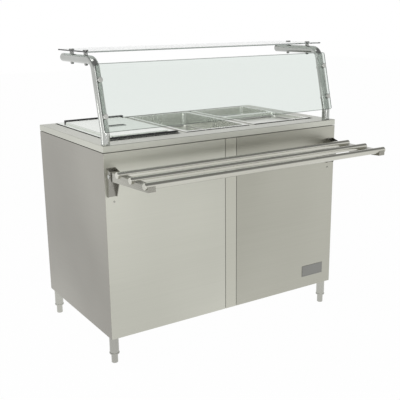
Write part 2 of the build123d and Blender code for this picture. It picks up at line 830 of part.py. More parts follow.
def drain_pipe():
    """Drain: flanged inlet, riser with a ball valve, and the spigot under the cabinet floor."""
    def length(z0, z1, radius):
        """A round bar on the drain's axis."""
        return rod((drain_x, drain_y, z0), (drain_x, drain_y, z1), radius)
    flange_top = tank_floor - sheet
    boss_end = drain_y + valve_radius + valve_boss
    drain = length(flange_top - 2 * sheet, flange_top, drain_flange_radius)
    drain += length(spigot_top, flange_top, riser_radius)
    drain += length(valve_z - valve_height / 2, valve_z + valve_height / 2, valve_radius)
    drain += length(drain_end, spigot_top, spigot_radius)
    drain += length(spigot_top, spigot_top + spigot_collar, spigot_collar_radius)
    drain += extrude(Pos(drain_x, drain_y, base_top + fit_gap) *
                     RegularPolygon(spigot_collar_radius, 6), spigot_collar)
    drain += rod((drain_x, drain_y, valve_z), (drain_x, boss_end, valve_z), 2 * stem_radius)
    drain -= rod((drain_x, boss_end - valve_boss - stem_depth, valve_z),
                 (drain_x, boss_end, valve_z), stem_radius + running_gap)
    return drain - length(drain_end, flange_top, riser_radius - drain_wall)


def valve_lever():
    """Quarter-turn lever on its stem, shown closed, square to the pipe."""
    face_y = drain_y + valve_radius + valve_boss + fit_gap
    stem = rod((drain_x, drain_y + valve_radius - stem_depth + stem_end_gap, valve_z),
               (drain_x, face_y + lever_thick + stem_proud, valve_z), stem_radius)
    bar = block(drain_x - lever_width / 2, drain_x + lever_length, face_y,
                face_y + lever_thick, valve_z - lever_width / 2, valve_z + lever_width / 2)
    bar = fillet(bar.edges().filter_by(Axis.Y), lever_width / 2 - stem_end_gap)
    return stem + bar


def unit_base():
    """Base plate of the condensing unit, with turned-up long edges."""
    half = compartment_width / 2 - panel_thick - unit_side_clear
    back = condenser_back + condenser_rise
    plate = block(unit_x - half, unit_x + half, unit_front, back, base_top, unit_z)
    for side in (-1, 1):
        x = unit_x + side * (half - unit_plate / 2)
        plate += block(x - unit_plate / 2, x + unit_plate / 2, unit_front, back, base_top,
                       base_top + unit_plate_fold)
    for side in (-1, 1):
        x = unit_x + side * (condenser_width / 2 - grommet_radius)
        plate += block(x - grommet_radius, x + grommet_radius, condenser_front + fit_gap,
                       condenser_back, unit_z, unit_z + condenser_rise)
    return plate


def compressor():
    """Hermetic compressor: domed shell on two mounting bars with four grommets."""
    x, y, r = unit_x, compressor_y, compressor_radius
    shell = Pos(0, 0, compressor_height / 2) * Cylinder(r, compressor_height)
    shell = fillet(shell.edges().group_by(Axis.Z)[-1], shell_round_top)
    shell = fillet(shell.edges().group_by(Axis.Z)[0], shell_round_foot)
    seam = Pos(0, 0, compressor_height / 2) * Cylinder(r + seam_proud, seam_height)
    body = Pos(x, y, shell_z) * (shell + seam)
    for side in (-1, 1):
        bar_y = y + side * mount_bar_spread
        body += block(x - r - mount_bar_spare, x + r + mount_bar_spare,
                      bar_y - mount_bar_width / 2, bar_y + mount_bar_width / 2,
                      compressor_z, compressor_z + mount_bar_thick)
        for end in (-1, 1):
            foot_x = x + end * (r + mount_bar_spare - grommet_radius)
            body += rod((foot_x, bar_y, unit_z), (foot_x, bar_y, compressor_z + grommet_sink),
                        grommet_radius)
    box_z = shell_z + terminal_low
    box = block(x - r - terminal_reach, x - r + terminal_reach, y - terminal_half,
                y + terminal_half, box_z, box_z + terminal_height)
    return body + fillet(box.edges().group_by(Axis.X)[0], terminal_round)


def condenser():
    """Finned condenser: fin plates threaded on rows of tubes between two end plates."""
    z0 = unit_z + condenser_rise
    y0, y1 = condenser_front + fit_gap, condenser_back
    x0 = unit_x - condenser_width / 2
    fins = []
    for fin in range(fin_count):
        x = x0 + fin * (condenser_width - fin_thick) / (fin_count - 1)
        fins.append(block(x, x + fin_thick, y0, y1, z0, z0 + condenser_height))
    tubes = []
    for row in range(tube_rows):
        z = z0 + (row + 1 / 2) * condenser_height / tube_rows
        y = (y0 + y1 + (-1) ** row * tube_stagger) / 2
        tubes.append(rod((x0, y, z), (x0 + condenser_width, y, z), tube_radius))
    return fins[0] + fins[1:] + tubes


def fan_shroud():
    """Fan plate on the condenser's face, with its collar and the motor's bracket."""
    z0 = unit_z + condenser_rise
    y0 = condenser_front - shroud_depth
    bore = fan_radius + fan_clear
    plate = block(unit_x - condenser_width / 2, unit_x + condenser_width / 2,
                  condenser_front - top_sheet, condenser_front, z0, z0 + condenser_height)
    collar = rod((unit_x, y0, fan_z), (unit_x, condenser_front, fan_z), bore + top_sheet)
    shroud = plate + collar - rod((unit_x, y0, fan_z), (unit_x, condenser_front, fan_z), bore)
    ring_y = y0 - motor_length / 2
    for quarter in range(4):
        angle = radians(45 + 90 * quarter)
        dx, dz = cos(angle), sin(angle)
        inner = motor_radius + fit_gap
        outer = bore + top_sheet / 2
        shroud += rod((unit_x + inner * dx, ring_y, fan_z + inner * dz),
                      (unit_x + outer * dx, ring_y, fan_z + outer * dz), line_radius)
        shroud += rod((unit_x + outer * dx, ring_y - line_radius, fan_z + outer * dz),
                      (unit_x + outer * dx, y0 + top_sheet, fan_z + outer * dz), line_radius)
    shroud += pipe((unit_x, ring_y - band_half, fan_z), (unit_x, ring_y + band_half, fan_z),
                   motor_radius + band_thick, band_thick)
    return shroud - rod((unit_x, y0, fan_z), (unit_x, condenser_front, fan_z), bore)


def fan_motor():
    """Fan motor with its shaft."""
    y1 = condenser_front - shroud_depth - fit_gap
    y0 = y1 - motor_length
    motor = rod((unit_x, y0, fan_z), (unit_x, y1, fan_z), motor_radius)
    motor = fillet(motor.edges().filter_by(GeomType.CIRCLE), motor_round)
    shaft_end = fan_y + fan_hub_length / 2 - hub_face - shaft_end_gap
    return motor + rod((unit_x, y0 + motor_round, fan_z), (unit_x, shaft_end, fan_z),
                       motor_shaft_radius)


def fan_blade():
    """Axial fan: a hub with twisted blades, bored for the motor shaft."""
    half = fan_hub_length / 2
    hub = rod((0, hub_set_back - half, 0), (0, half, 0), fan_hub_radius)
    fan = fillet(hub.edges().group_by(Axis.Y)[-1], hub_round)

    def section(height, pitch, chord):
        """The blade's outline at a height above the axis."""
        plane = Plane(origin=(0, hub_set_back / 2, height), x_dir=(1, 0, 0), z_dir=(0, 0, 1))
        return plane * Rot(0, 0, pitch) * Rectangle(chord, blade_thick)

    blade = loft([section(fan_hub_radius - blade_root_sink, blade_pitch_root, blade_root_chord),
                  section(fan_radius, blade_pitch_tip, blade_chord)])
    for turn in range(fan_blades):
        fan += blade.rotate(Axis.Y, 360 * turn / fan_blades)
    fan -= rod((0, -fan_hub_length, 0), (0, half - hub_face, 0),
               motor_shaft_radius + running_gap)
    return Pos(unit_x, fan_y, fan_z) * fan


def refrigerant_lines():
    """Suction and liquid lines, with the filter drier on the liquid line."""
    (coil_x, coil_front), (_, coil_back) = coil_ends()
    low = foam_bottom - tail_drop - fit_gap
    shell_top = shell_z + compressor_height
    inlet_x = unit_x + suction_offset
    bend = 5 * line_radius
    suction = bent_tube([(coil_x, coil_front, low),
                         (coil_x, coil_front, shell_top + suction_rise),
                         (inlet_x, compressor_y, shell_top + suction_rise),
                         (inlet_x, compressor_y, shell_top + fit_gap)], [bend] * 2, line_radius)
    foot = unit_z + condenser_rise + condenser_height + fit_gap
    liquid = rod((coil_x, coil_back, foot), (coil_x, coil_back, low), line_radius)
    drier_z = (foot + low - drier_length) / 2
    drier = rod((coil_x, coil_back, drier_z), (coil_x, coil_back, drier_z + drier_length),
                drier_radius)
    return Compound(children=[suction, liquid + drier])


def leg(x, y):
    """Leg tube with a collar at its foot and a bore for the foot's stem."""
    tube = rod((x, y, leg_clear), (x, y, ground_gap), leg_radius)
    tube += rod((x, y, leg_clear), (x, y, leg_clear + collar_height), collar_radius)
    tube -= rod((x, y, leg_clear), (x, y, foot_bore_top), foot_radius + foot_bore_gap)
    return tube - rod((x, y, foot_bore_top), (x, y, ground_gap), foot_stem_radius + running_gap)


def leg_places():
    """Each leg's name, X and Y."""
    x, y = half_width - leg_inset_x, depth / 2 - leg_inset_y
    return [("front_left", -x, -y), ("front_right", x, -y),
            ("back_left", -x, y), ("back_right", x, y)]


def foot(x, y):
    """Adjustable foot: a round foot on a stem."""
    pad = rod((x, y, 0), (x, y, foot_height), foot_radius)
    pad = chamfer(pad.edges().group_by(Axis.Z)[0], foot_chamfer)
    return pad + rod((x, y, foot_height), (x, y, foot_stem_top), foot_stem_radius)


def post_path(x):
    """Centre line of a post: stub, sloping run and the arm under the shelf."""
    return FilletPolyline((x, post_y, worktop_height), (x, post_y, kink_z),
                          (x, elbow_y, arm_z), (x, arm_end, arm_z),
                          radius=[kink_radius, elbow_radius])


def post_outside(x, radius):
    """The post as a solid bar of the given radius."""
    path = post_path(x)
    return sweep(Plane(origin=path @ 0, z_dir=path % 0) * Circle(radius), path=path)


def glass_bolt_axis(along, x):
    """Point on the post's axis and the bolt's direction there."""
    return Vector(x, 0, 0) + kink + slope * along


def guard_post(x):
    """Bent tube post with closed ends and holes for its bolts."""
    post = post_outside(x, post_radius) - post_outside(x, post_radius - post_wall)
    post += rod((x, post_y, worktop_height), (x, post_y, worktop_height + post_cap),
                post_radius)
    post += rod((x, arm_end - arm_cap, arm_z), (x, arm_end, arm_z), post_radius)
    post += rod((x, post_y, worktop_height - post_stud_length),
                (x, post_y, worktop_height), bolt_radius)
    for along in glass_bolts_at:
        centre = glass_bolt_axis(along, x)
        reach = outward * (post_radius * 2)
        post -= rod(tuple(centre - reach), tuple(centre + reach), bolt_radius + bolt_hole_gap)
    for y in shelf_bolts_at:
        post -= rod((x, y, arm_z - 2 * post_radius), (x, y, arm_z + 2 * post_radius),
                    bolt_radius + bolt_hole_gap)
    nut = extrude(Pos(x, post_y, sheet_under - nut_thick) *
                  RegularPolygon(nut_radius, 6), nut_thick)
    return post + nut


def front_glass():
    """Guard glass on the customer's side of the posts."""
    near = post_radius + glass_spacer
    plane = Plane(origin=kink + slope * glass_start + outward * near, x_dir=(1, 0, 0),
                  z_dir=outward)
    outline = Pos(0, glass_height / 2, 0) * RectangleRounded(glass_width, glass_height,
                                                             glass_corner)
    glass = extrude(plane * outline, glass_thick)
    for side in (-1, 1):
        for along in glass_bolts_at:
            centre = glass_bolt_axis(along, side * post_x)
            glass -= rod(tuple(centre), tuple(centre + outward * 2 * near),
                         bolt_radius + bolt_hole_gap)
    return glass


def top_shelf():
    """Glass shelf on the posts' arms."""
    shelf = round_block(-shelf_width / 2, shelf_width / 2, shelf_front,
                        shelf_front + shelf_depth, shelf_z, shelf_z + glass_thick,
                        glass_corner)
    for side in (-1, 1):
        for y in shelf_bolts_at:
            shelf -= rod((side * post_x, y, arm_z), (side * post_x, y, shelf_z + glass_thick),
                         bolt_radius + bolt_hole_gap)
    return shelf


def through_bolt(centre, direction, spacer, tube):
    """Bolt through a post: domed disc, shank, spacer shaped to the tube, domed nut."""
    def at(distance):
        return tuple(centre + direction * distance)
    seat = post_radius + spacer
    head = rod(at(seat + glass_thick), at(seat + glass_thick + disc_thick), disc_radius)
    head = fillet(head.edges().filter_by(GeomType.CIRCLE).sort_by(
        lambda e: (Vector(*e.center()) - centre).length)[-1], disc_round)
    shank = rod(at(-post_radius - nut_thick), at(seat + glass_thick + disc_thick / 2),
                bolt_radius)
    collar = rod(at(post_radius - saddle_depth), at(seat), spacer_radius) - tube
    nut = rod(at(-post_radius - nut_thick), at(saddle_depth - post_radius), nut_radius) - tube
    end = nut.edges().filter_by(GeomType.CIRCLE).sort_by(
        lambda e: (Vector(*e.center()) - centre).length)[-1]
    return head + shank + collar + fillet(end, nut_round)


def glass_bolts():
    """The four bolts that hold the guard glass."""
    bolts = []
    for side in (-1, 1):
        tube = post_outside(side * post_x, post_radius)
        for along in glass_bolts_at:
            centre = glass_bolt_axis(along, side * post_x)
            bolts.append(through_bolt(centre, outward, glass_spacer, tube))
    return Compound(children=bolts)


def shelf_bolts():
    """The four bolts that hold the shelf."""
    bolts = []
    for side in (-1, 1):
        tube = post_outside(side * post_x, post_radius)
        for y in shelf_bolts_at:
            centre = Vector(side * post_x, y, arm_z)
            bolts.append(through_bolt(centre, Vector(0, 0, 1), shelf_spacer, tube))
    return Compound(children=bolts)


def tray_rails():
    """The three tubes that trays slide along."""
    half = rail_length / 2 - rail_cap_thick
    return Compound(children=[pipe((-half, y, rail_height), (half, y, rail_height),
                                   rail_radius, rail_wall) for y in rail_y])


def rail_caps():
    """Push-in plugs that close the rails' ends."""
    caps = []
    end = rail_length / 2
    for y in rail_y:
        for side in (-1, 1):
            cap = rod((side * (end - rail_cap_thick), y, rail_height),
                      (side * end, y, rail_height), rail_radius)
            face = cap.edges().filter_by(GeomType.CIRCLE).sort_by(Axis.X)[-1 if side > 0 else 0]
            cap = fillet(face, rail_cap_round)
            plug = rod((side * (end - rail_cap_thick - rail_plug_length), y, rail_height),
                       (side * (end - rail_cap_thick), y, rail_height), rail_radius - rail_wall)
            caps.append(cap + plug)
    return Compound(children=caps)


def tray_arm(side):
    """Arm of the slide: a channel open below, notched for the rails, round at its pivot."""
    x = side * arm_x
    tip = rail_y[-1] - arm_tip_reach
    top = rail_height
    root = pivot_y + pivot_drop
    outline = Polyline((pivot_y, top), (tip, top), (tip, top - arm_tip_depth),
                       (pivot_y, top - arm_root_depth), close=True)
    across = Plane(origin=(x - arm_width / 2, 0, 0), x_dir=(0, 1, 0), z_dir=(1, 0, 0))
    web = extrude(across * make_face(outline), arm_width)
    web += rod((x - arm_width / 2, pivot_y, pivot_z), (x + arm_width / 2, pivot_y, pivot_z),
               arm_root_depth / 2)
    inside = Polyline((root, top - arm_sheet), (tip + arm_sheet, top - arm_sheet),
                      (tip + arm_sheet, top - 2 * arm_root_depth),
                      (root, top - 2 * arm_root_depth), close=True)
    hollow_plane = Plane(origin=(x - arm_width / 2 + arm_sheet, 0, 0), x_dir=(0, 1, 0),
                         z_dir=(1, 0, 0))
    web -= extrude(hollow_plane * make_face(inside), arm_width - 2 * arm_sheet)
    for y in rail_y:
        web -= rod((x - arm_width, y, rail_height), (x + arm_width, y, rail_height),
                   rail_radius + running_gap)
    return web - rod((x - arm_width, pivot_y, pivot_z), (x + arm_width, pivot_y, pivot_z),
                     pivot_radius + running_gap)


def wall_bracket(side):
    """Wall bracket: a back plate and two tapered cheeks that take the arm's pivot pin."""
    x = side * arm_x
    top = pivot_z + arm_root_depth / 2 + bracket_top
    low = top - bracket_height
    bracket = block(x - bracket_width / 2, x + bracket_width / 2, front_y - bracket_sheet,
                    front_y, low, top)
    outline = Polyline((front_y, top), (front_y - bracket_reach, top - bracket_top),
                       (front_y - bracket_reach, pivot_z - arm_root_depth / 2),
                       (front_y - bracket_toe, low), (front_y, low), close=True)
    for edge in (-1, 1):
        start = x + edge * (bracket_width / 2 - bracket_sheet / 2) - bracket_sheet / 2
        across = Plane(origin=(start, 0, 0), x_dir=(0, 1, 0), z_dir=(1, 0, 0))
        bracket += extrude(across * make_face(outline), bracket_sheet)
    return bracket - rod((x - bracket_width, pivot_y, pivot_z),
                         (x + bracket_width, pivot_y, pivot_z), pivot_radius + running_gap)


def arm_pins():
    """The two pivot pins, each with a head at both ends."""
    pins = []
    for side in (-1, 1):
        x = side * arm_x
        half = bracket_width / 2 + running_gap
        pin = rod((x - half, pivot_y, pivot_z), (x + half, pivot_y, pivot_z), pivot_radius)
        for end in (-1, 1):
            pin += rod((x + end * half, pivot_y, pivot_z),
                       (x + end * (half + pin_head_thick), pivot_y, pivot_z),
                       pivot_radius + pin_head_proud)
        pins.append(pin)
    return Compound(children=pins)


def all_parts():
    """Every node's name and shape."""
    rows = [pan_centre_y + shift * pan_play for shift in (1, -1, 0)]
    half = pan_length / 2
    left_rows = (rows[0] - half, rows[0] + half)
    middle_rows = (rows[1] - half, rows[1] + half)
    parts = {
        "worktop": worktop(),
        "well_tank": well_tank(),
        "well_insulation": well_insulation(),
        "evaporator_coil": evaporator_coil(),
        "pan_bars": Compound(children=[pan_bar(x) for x in bar_x]),
        "pan_left": pan(pan_x[0], *left_rows, full_pan_depth),
        "lid_left": lid(),
        "pan_middle": pan(pan_x[1], *middle_rows, full_pan_depth),
        "half_pan_back": pan(pan_x[2], rows[2] + half_pan_gap / 2, rows[2] + half,
                             half_pan_back_depth),
        "half_pan_front": pan(pan_x[2], rows[2] - half, rows[2] - half_pan_gap / 2,
                              half_pan_front_depth),
        "side_panel_left": side_panel(),
        "side_panel_right": mirrored(side_panel()),
        "front_panel_left": front_panel(-1),
        "front_panel_right": front_panel(1),
        "cover_strip": cover_strip(),
        "base_tray": base_tray(),
        "rear_header": rear_header(),
        "control_panel": control_panel(),
        "louvre_panel": louvre_panel(),
        "thermostat": thermostat(),
        "switch_housing": switch_housing(),
        "switch_rocker": switch_rocker(),
        "door_left": door(-1),
        "door_right": door(1),
        "door_handle_left": door_handle(-1),
        "door_handle_right": door_handle(1),
        "door_pins": door_pins(),
        "mullion": mullion(),
        "partition": partition(),
        "inner_shelf": inner_shelf(),
        "drain_pipe": drain_pipe(),
        "valve_lever": valve_lever(),
        "unit_base": unit_base(),
        "compressor": compressor(),
        "condenser": condenser(),
        "fan_shroud": fan_shroud(),
        "fan_motor": fan_motor(),
        "fan_blade": fan_blade(),
        "refrigerant_lines": refrigerant_lines(),
        "legs": Compound(children=[leg(x, y) for _, x, y in leg_places()]),
        "post_left": guard_post(-post_x),
        "post_right": guard_post(post_x),
        "front_glass": front_glass(),
        "top_shelf": top_shelf(),
        "glass_bolts": glass_bolts(),
        "shelf_bolts": shelf_bolts(),
        "tray_rails": tray_rails(),
        "rail_caps": rail_caps(),
        "tray_arm_left": tray_arm(-1),
        "tray_arm_right": tray_arm(1),
        "wall_bracket_left": wall_bracket(-1),
        "wall_bracket_right": wall_bracket(1),
        "arm_pins": arm_pins(),
    }
    for name, x in zip(("set", "down", "up"), button_places()):
        parts["button_" + name] = thermostat_button(x)
    for name, x, y in leg_places():
        parts["foot_" + name] = foot(x, y)
    return parts


os.makedirs("parts", exist_ok=True)
for name, shape in all_parts().items():
    export_step(Pos(0, footprint_shift, 0) * shape, "parts/" + name + ".step")
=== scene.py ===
"""Looks of the refrigerated self-service counter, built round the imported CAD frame.

Metres and degrees. X runs along the counter, -Y is the customer's side and Z is up.
"""

import json
from math import radians

import bmesh
import bpy
from mathutils import Euler, Matrix, Vector

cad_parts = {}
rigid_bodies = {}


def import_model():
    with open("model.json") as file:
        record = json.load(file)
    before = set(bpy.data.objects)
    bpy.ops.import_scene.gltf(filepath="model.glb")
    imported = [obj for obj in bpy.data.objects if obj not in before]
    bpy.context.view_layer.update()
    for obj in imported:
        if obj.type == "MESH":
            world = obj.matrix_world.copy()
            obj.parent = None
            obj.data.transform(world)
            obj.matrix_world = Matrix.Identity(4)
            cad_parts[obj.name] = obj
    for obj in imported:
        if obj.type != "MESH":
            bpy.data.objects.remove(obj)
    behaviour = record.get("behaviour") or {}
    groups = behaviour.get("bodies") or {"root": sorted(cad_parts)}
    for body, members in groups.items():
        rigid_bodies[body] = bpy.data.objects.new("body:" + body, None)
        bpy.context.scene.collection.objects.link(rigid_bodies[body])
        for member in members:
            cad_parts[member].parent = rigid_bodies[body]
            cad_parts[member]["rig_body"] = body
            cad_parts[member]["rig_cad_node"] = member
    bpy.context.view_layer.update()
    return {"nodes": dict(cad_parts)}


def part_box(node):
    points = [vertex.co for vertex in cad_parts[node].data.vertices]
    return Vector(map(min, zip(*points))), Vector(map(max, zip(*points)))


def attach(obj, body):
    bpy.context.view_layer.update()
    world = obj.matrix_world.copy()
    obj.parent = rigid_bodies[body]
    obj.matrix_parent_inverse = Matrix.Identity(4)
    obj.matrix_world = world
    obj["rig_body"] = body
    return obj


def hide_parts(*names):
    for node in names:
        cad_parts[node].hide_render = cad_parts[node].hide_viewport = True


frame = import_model()
nodes = frame["nodes"]

MM = 0.001
X, Y, Z = 0, 1, 2

# Camera of the photograph, in the counter's own frame
CAMERA_PLACE = (-1.6419, -2.5243, 1.3649)
CAMERA_YAW = 32.486
CAMERA_PITCH = 14.871
CAMERA_ROLL = -0.6735
CAMERA_LENS = 62.53
CAMERA_SENSOR = 36
CAMERA_REACH = 60

# Light from all round, which fades to CEILING between these two heights of the sky
WORLD_FILL = 0.85
CEILING = 0.28
CEILING_FROM, CEILING_TO = 0.3, 0.62
FLOOR_SIZE = 30
FLOOR_COLOUR = (0.85, 0.85, 0.85, 1)
FLOOR_ROUGHNESS = 0.9
FLOOR_GLOW = 0.985
# Name, place, width, height, power in watts, and where it points
LAMPS = (("key", (-2.2, -3.2, 2.6), 1.6, 1.6, 24, (0, 0, 0.7)),
         ("top", (-1.3, 0.7, 3.6), 1.8, 1.8, 24, (0, 0, 0.8)),
         ("strip_front", (-0.9, -3.3, 1.0), 0.12, 1.1, 4, (0, 0, 0.9)),
         ("strip_middle", (-0.3, -3.4, 1.0), 0.12, 1.1, 4, (0, 0, 0.9)),
         ("strip_right", (3.0, -1.7, 0.6), 0.25, 1.1, 1.5, (0, 0, 0.6)),
         ("strip_left", (-2.9, 0.6, 0.6), 0.3, 1.1, 5, (0, 0, 0.6)))

# Edges of the bare plate on the front, and the stop screws beside the panels
PLATE_X = (0.4075, 0.5305)
PLATE_Z = (0.1685, 0.2205)
PLATE_THICK = 1.8 * MM
STOP_SCREW_X, STOP_SCREW_Z = 0.543, 0.682
STOP_SCREW_RADIUS = 4 * MM
# Feet of the guard's posts on the worktop
POST_FOOT_X, POST_FOOT_Y = 0.553, -0.157
POST_WELD_RADIUS = 17.2 * MM
# Heights of the screws on the machine room's two sheets, and their distance from the edges
LOUVRE_SCREW_Z = (0.150, 0.575)
CONTROL_SCREW_Z = 0.624
SCREW_INSET = 14 * MM
SHEET_SCREW_RADIUS, SHEET_SCREW_STAND = 3.5 * MM, 1.8 * MM

# Grain as fine as this along X, Y and Z
LONG_X = (1.5, 260.0, 330.0)
LONG_Y = (260.0, 1.5, 330.0)
UPRIGHT = (330.0, 260.0, 1.5)
ALL_ROUND = (60.0, 60.0, 60.0)
PRESSED = (40.0, 40.0, 40.0)

GLASS_BODY = (0.79, 0.835, 0.805, 1)
GLASS_EDGE = (0.30, 0.33, 0.31, 1)
GLASS_IOR = 1.45
GLASS_HAZE = 0.03
GLASS_RIM = 3 * MM

# Radius in millimetres on the folded or ground edges of these nodes
FOLDED = {
    "side_panel_left": 0.6, "side_panel_right": 0.6, "front_panel_left": 0.6,
    "front_panel_right": 0.6, "cover_strip": 0.5, "door_left": 0.5, "door_right": 0.5,
    "wall_bracket_left": 0.5, "wall_bracket_right": 0.5, "tray_arm_left": 0.5,
    "tray_arm_right": 0.5, "front_glass": 0.6, "top_shelf": 0.6, "thermostat": 0.3,
    "switch_housing": 0.3, "base_tray": 0.5, "control_panel": 0.4,
}


def new_material(name):
    """A material, its node tree and its Principled shader."""
    material = bpy.data.materials.new(name)
    material.use_nodes = True
    return material, material.node_tree, material.node_tree.nodes["Principled BSDF"]


def add_node(tree, kind, sockets=None, **settings):
    """A new node of a tree, with its settings and the values on its sockets."""
    node = tree.nodes.new("ShaderNode" + kind)
    for key, value in settings.items():
        setattr(node, key, value)
    for key, value in (sockets or {}).items():
        node.inputs[key].default_value = value
    return node


def larger_of(tree, first, second):
    """The larger of two masks."""
    either = add_node(tree, "Math", operation="MAXIMUM")
    tree.links.new(first, either.inputs[0])
    tree.links.new(second, either.inputs[1])
    return either.outputs[0]


def brushed_group():
    """Grain of brushed sheet: streaks along one way, with faint hand marks over them."""
    group = bpy.data.node_groups.new("brushed_grain", "ShaderNodeTree")
    face = group.interface
    face.new_socket("Vector", in_out="INPUT", socket_type="NodeSocketVector")
    for name, start in (("Colour A", (0.5, 0.5, 0.47, 1)), ("Colour B", (0.6, 0.6, 0.57, 1))):
        face.new_socket(name, in_out="INPUT", socket_type="NodeSocketColor").default_value = start
    for name, start in (("Rough Low", 0.25), ("Rough High", 0.4), ("Mark Scale", 3.0)):
        face.new_socket(name, in_out="INPUT", socket_type="NodeSocketFloat").default_value = start
    face.new_socket("Colour", in_out="OUTPUT", socket_type="NodeSocketColor")
    face.new_socket("Roughness", in_out="OUTPUT", socket_type="NodeSocketFloat")
    face.new_socket("Height", in_out="OUTPUT", socket_type="NodeSocketFloat")
    link = group.links.new
    source = group.nodes.new("NodeGroupInput")
    result = group.nodes.new("NodeGroupOutput")
    place = add_node(group, "TexCoord")

    streaks = add_node(group, "TexNoise", {"Scale": 1.0, "Detail": 6.0, "Roughness": 0.65})
    marks = add_node(group, "TexNoise", {"Detail": 3.0})
    clouds = add_node(group, "TexNoise", {"Scale": 1.6, "Detail": 1.0})
    link(source.outputs["Vector"], streaks.inputs["Vector"])
    link(place.outputs["Object"], marks.inputs["Vector"])
    link(source.outputs["Mark Scale"], marks.inputs["Scale"])
    link(place.outputs["Object"], clouds.inputs["Vector"])

    # Colour: the streaks, lighter or darker with the clouds
    spread = add_node(group, "MapRange", {"From Min": 0.35, "From Max": 0.65,
                                          "To Min": -0.5, "To Max": 0.5})
    shade = add_node(group, "Math", operation="ADD", use_clamp=True)
    blend = add_node(group, "Mix", data_type="RGBA")
    link(clouds.outputs["Fac"], spread.inputs["Value"])
    link(streaks.outputs["Fac"], shade.inputs[0])
    link(spread.outputs["Result"], shade.inputs[1])
    link(shade.outputs[0], blend.inputs["Factor"])
    link(source.outputs["Colour A"], blend.inputs["A"])
    link(source.outputs["Colour B"], blend.inputs["B"])
    link(blend.outputs["Result"], result.inputs["Colour"])

    # Roughness: 0.6 of the marks and 0.4 of the streaks
    marks_share = add_node(group, "Math", {1: 0.6}, operation="MULTIPLY")
    both = add_node(group, "Math", {1: 0.4}, operation="MULTIPLY_ADD")
    ranged = add_node(group, "MapRange", {"From Min": 0.3, "From Max": 0.7})
    link(marks.outputs["Fac"], marks_share.inputs[0])
    link(streaks.outputs["Fac"], both.inputs[0])
    link(marks_share.outputs[0], both.inputs[2])
    link(both.outputs[0], ranged.inputs["Value"])
    link(source.outputs["Rough Low"], ranged.inputs["To Min"])
    link(source.outputs["Rough High"], ranged.inputs["To Max"])
    link(ranged.outputs["Result"], result.inputs["Roughness"])
    link(streaks.outputs["Fac"], result.inputs["Height"])
    return group


GRAIN = brushed_group()


def brushed_steel(name, colour_a, colour_b, rough, stretch, bump=0.02, marks=3.0):
    """Brushed metal; stretch is the grain's fineness along X, Y and Z."""
    material, tree, shader = new_material(name)
    link = tree.links.new
    place = add_node(tree, "TexCoord")
    turn = add_node(tree, "Mapping", {"Scale": stretch})
    grain = add_node(tree, "Group", node_tree=GRAIN)
    for socket, value in (("Colour A", (*colour_a, 1)), ("Colour B", (*colour_b, 1)),
                          ("Rough Low", rough[0]), ("Rough High", rough[1]),
                          ("Mark Scale", marks)):
        grain.inputs[socket].default_value = value
    relief = add_node(tree, "Bump", {"Strength": bump, "Distance": 0.5 * MM})
    link(place.outputs["Object"], turn.inputs["Vector"])
    link(turn.outputs["Vector"], grain.inputs["Vector"])
    link(grain.outputs["Colour"], shader.inputs["Base Color"])
    link(grain.outputs["Roughness"], shader.inputs["Roughness"])
    link(grain.outputs["Height"], relief.inputs["Height"])
    link(relief.outputs["Normal"], shader.inputs["Normal"])
    shader.inputs["Metallic"].default_value = 1.0
    return material


def speckled(name, colour_a, colour_b, rough, scale, bump=0.1, coat=0.0):
    """Moulded plastic, paint, foam or rubber: a fine mottle with a grained surface."""
    material, tree, shader = new_material(name)
    link = tree.links.new
    place = add_node(tree, "TexCoord")
    mottle = add_node(tree, "TexNoise", {"Scale": scale, "Detail": 4.0})
    colours = add_node(tree, "Mix", data_type="RGBA")
    colours.inputs["A"].default_value = (*colour_a, 1)
    colours.inputs["B"].default_value = (*colour_b, 1)
    rougher = add_node(tree, "MapRange", {"To Min": rough[0], "To Max": rough[1]})
    relief = add_node(tree, "Bump", {"Strength": bump, "Distance": 0.4 * MM})
    link(place.outputs["Object"], mottle.inputs["Vector"])
    link(mottle.outputs["Fac"], colours.inputs["Factor"])
    link(mottle.outputs["Fac"], rougher.inputs["Value"])
    link(mottle.outputs["Fac"], relief.inputs["Height"])
    link(colours.outputs["Result"], shader.inputs["Base Color"])
    link(rougher.outputs["Result"], shader.inputs["Roughness"])
    link(relief.outputs["Normal"], shader.inputs["Normal"])
    shader.inputs["Coat Weight"].default_value = coat
    return material


def sheet_glass(node, axes):
    """Toughened glass of one sheet: a faint green body with slight smears, darker in the
    ground edge, which is GLASS_RIM wide on these axes."""
    low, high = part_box(node)
    material, tree, shader = new_material(node + "_glass")
    shader.inputs["Transmission Weight"].default_value = 1.0
    shader.inputs["IOR"].default_value = GLASS_IOR
    link = tree.links.new
    place = add_node(tree, "TexCoord")
    split = add_node(tree, "SeparateXYZ")
    link(place.outputs["Object"], split.inputs["Vector"])
    masks = []
    for axis in axes:
        for bound, side in ((low[axis] + GLASS_RIM, "LESS_THAN"),
                            (high[axis] - GLASS_RIM, "GREATER_THAN")):
            mask = add_node(tree, "Math", {1: bound}, operation=side)
            link(split.outputs[axis], mask.inputs[0])
            masks.append(mask.outputs[0])
    edge = masks[0]
    for mask in masks[1:]:
        edge = larger_of(tree, edge, mask)
    tint = add_node(tree, "Mix", data_type="RGBA")
    tint.inputs["A"].default_value = GLASS_BODY
    tint.inputs["B"].default_value = GLASS_EDGE
    link(edge, tint.inputs["Factor"])
    link(tint.outputs["Result"], shader.inputs["Base Color"])
    smear = add_node(tree, "TexNoise", {"Scale": 6.0})
    haze = add_node(tree, "MapRange", {"To Max": GLASS_HAZE})
    link(place.outputs["Object"], smear.inputs["Vector"])
    link(smear.outputs["Fac"], haze.inputs["Value"])
    link(haze.outputs["Result"], shader.inputs["Roughness"])
    return material


